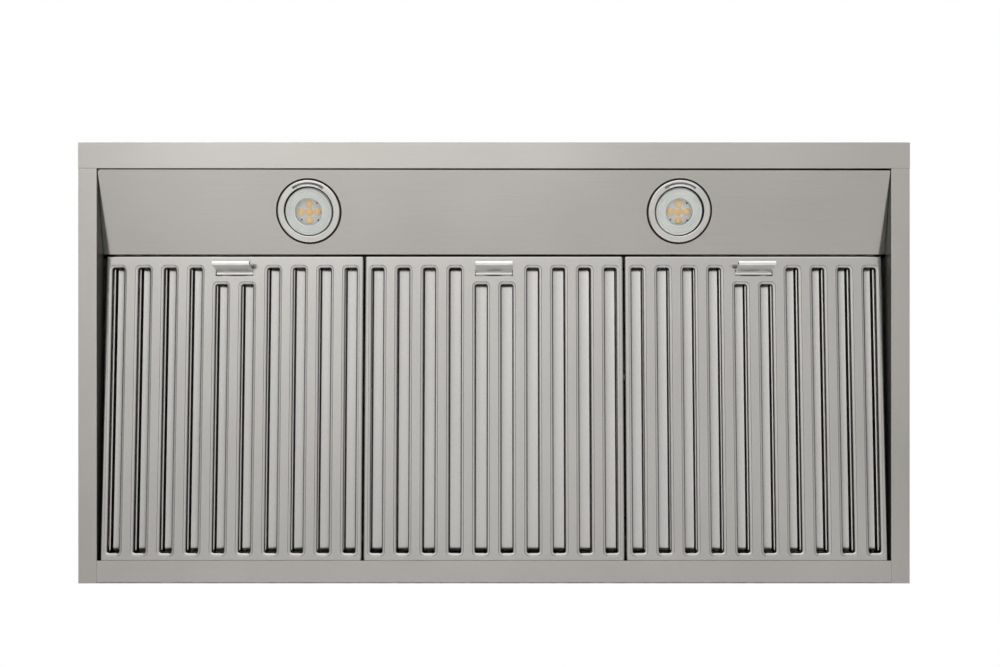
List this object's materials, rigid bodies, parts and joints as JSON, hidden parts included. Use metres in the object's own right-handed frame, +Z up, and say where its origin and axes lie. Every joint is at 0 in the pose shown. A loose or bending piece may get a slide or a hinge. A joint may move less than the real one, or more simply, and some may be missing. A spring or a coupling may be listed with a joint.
{
  "type": "wall mount range hood",
  "caption": "Wall mount range hood: a low pyramid canopy over baffle filters and lamps, with front push buttons, an inner blower, a round duct collar and a telescoping flue cover.",
  "frame": {"origin": "in the wall plane, midway along the lower rear edge of the hood", "axes": "+X to the right of someone facing the hood, -Y to the front, +Z up"},
  "size_m": [0.914, 0.4885, 0.696],
  "materials": {
    "stainless": "brushed stainless sheet, grain along the width",
    "baffle_steel": "bright stainless, grain along the slots",
    "button_steel": "spun stainless",
    "galvanised": "galvanised sheet with a fine spangle",
    "trim_metal": "satin nickel paint on die-cast aluminium",
    "lens": "frosted polycarbonate, clear in the middle",
    "diode": "white board with amber diodes",
    "heat_sink": "extruded aluminium",
    "zinc": "bright zinc plate",
    "motor_paint": "grey enamel",
    "black_plastic": "moulded, matt",
    "circuit_board": "glass fibre board"
  },
  "bodies": {
    "hood": {"front_fascia": "stainless", "left_side": "stainless", "right_side": "stainless", "front_slope": "stainless", "left_slope": "stainless", "right_slope": "stainless", "back_panel": "galvanised", "rear_rail": "stainless", "top_deck": "galvanised", "flue_frame": "galvanised", "light_panel": "stainless", "lamp_trim_left": "trim_metal", "lamp_trim_right": "trim_metal", "lamp_lens_left": "lens", "lamp_lens_right": "lens", "lamp_leds_left": "diode", "lamp_leds_right": "diode", "lamp_body_left": "heat_sink", "lamp_body_right": "heat_sink", "lamp_clips": "zinc", "blower_scroll": "galvanised", "blower_side_left": "galvanised", "blower_side_right": "galvanised", "motor": "motor_paint", "motor_bracket": "galvanised", "blower_screws": "zinc", "duct_collar": "galvanised", "damper_pin": "zinc", "switch_housing": "black_plastic", "control_board": "circuit_board", "wiring_box": "galvanised", "wiring_cover": "galvanised", "capacitor": "black_plastic", "cable_gland": "black_plastic", "wiring_loom": "black_plastic", "chimney_lower": "stainless", "chimney_screws": "zinc"},
    "rotor": {"blower_wheel": "black_plastic", "motor_shaft": "zinc"},
    "flap_front": {"damper_front": "galvanised"},
    "flap_rear": {"damper_rear": "galvanised"},
    "upper_cover": {"chimney_upper": "stainless", "chimney_bracket": "galvanised"},
    "filter_left": {"filter_face_left": "baffle_steel", "filter_baffle_left": "baffle_steel", "latch_spring_left": "zinc"},
    "latch_left": {"filter_latch_left": "baffle_steel"},
    "filter_middle": {"filter_face_middle": "baffle_steel", "filter_baffle_middle": "baffle_steel", "latch_spring_middle": "zinc"},
    "latch_middle": {"filter_latch_middle": "baffle_steel"},
    "filter_right": {"filter_face_right": "baffle_steel", "filter_baffle_right": "baffle_steel", "latch_spring_right": "zinc"},
    "latch_right": {"filter_latch_right": "baffle_steel"},
    "key_stop": {"button_stop": "button_steel"},
    "key_low": {"button_low": "button_steel"},
    "key_medium": {"button_medium": "button_steel"},
    "key_high": {"button_high": "button_steel"},
    "key_light": {"button_light": "button_steel"}
  },
  "joints": [
    {"name": "wheel_spin", "type": "hinge", "parent": "hood", "child": "rotor", "pos_m": [0, -0.10714, 0.165], "axis": [1, 0, 0], "continuous": true},
    {"name": "flap_front_swing", "type": "hinge", "parent": "hood", "child": "flap_front", "pos_m": [0, -0.135, 0.273], "axis": [-1, 0, 0], "range_deg": [0, 75]},
    {"name": "flap_rear_swing", "type": "hinge", "parent": "hood", "child": "flap_rear", "pos_m": [0, -0.135, 0.273], "axis": [1, 0, 0], "range_deg": [0, 75]},
    {"name": "cover_slide", "type": "slide", "parent": "hood", "child": "upper_cover", "axis": [0, 0, 1], "range_m": [0, 0.28]},
    {"name": "filter_left_swing", "type": "hinge", "parent": "hood", "child": "filter_left", "pos_m": [-0.28997, -0.025, 0.00187], "axis": [1, 0, 0], "range_deg": [0, 40]},
    {"name": "filter_middle_swing", "type": "hinge", "parent": "hood", "child": "filter_middle", "pos_m": [0, -0.025, 0.00187], "axis": [1, 0, 0], "range_deg": [0, 40]},
    {"name": "filter_right_swing", "type": "hinge", "parent": "hood", "child": "filter_right", "pos_m": [0.28997, -0.025, 0.00187], "axis": [1, 0, 0], "range_deg": [0, 40]},
    {"name": "latch_left_slide", "type": "slide", "parent": "filter_left", "child": "latch_left", "axis": [0, 0.9989, -0.0473], "range_m": [0, 0.004], "stiffness_N_per_m": 600, "springref_m": -0.003, "deforming": ["latch_spring_left"]},
    {"name": "latch_middle_slide", "type": "slide", "parent": "filter_middle", "child": "latch_middle", "axis": [0, 0.9989, -0.0473], "range_m": [0, 0.004], "stiffness_N_per_m": 600, "springref_m": -0.003, "deforming": ["latch_spring_middle"]},
    {"name": "latch_right_slide", "type": "slide", "parent": "filter_right", "child": "latch_right", "axis": [0, 0.9989, -0.0473], "range_m": [0, 0.004], "stiffness_N_per_m": 600, "springref_m": -0.003, "deforming": ["latch_spring_right"]},
    {"name": "button_stop_press", "type": "slide", "parent": "hood", "child": "key_stop", "axis": [0, 1, 0], "range_m": [0, 0.003], "stiffness_N_per_m": 500, "springref_m": -0.002},
    {"name": "button_low_press", "type": "slide", "parent": "hood", "child": "key_low", "axis": [0, 1, 0], "range_m": [0, 0.003], "stiffness_N_per_m": 500, "springref_m": -0.002},
    {"name": "button_medium_press", "type": "slide", "parent": "hood", "child": "key_medium", "axis": [0, 1, 0], "range_m": [0, 0.003], "stiffness_N_per_m": 500, "springref_m": -0.002},
    {"name": "button_high_press", "type": "slide", "parent": "hood", "child": "key_high", "axis": [0, 1, 0], "range_m": [0, 0.003], "stiffness_N_per_m": 500, "springref_m": -0.002},
    {"name": "button_light_press", "type": "slide", "parent": "hood", "child": "key_light", "axis": [0, 1, 0], "range_m": [0, 0.003], "stiffness_N_per_m": 500, "springref_m": -0.002}
  ]
}
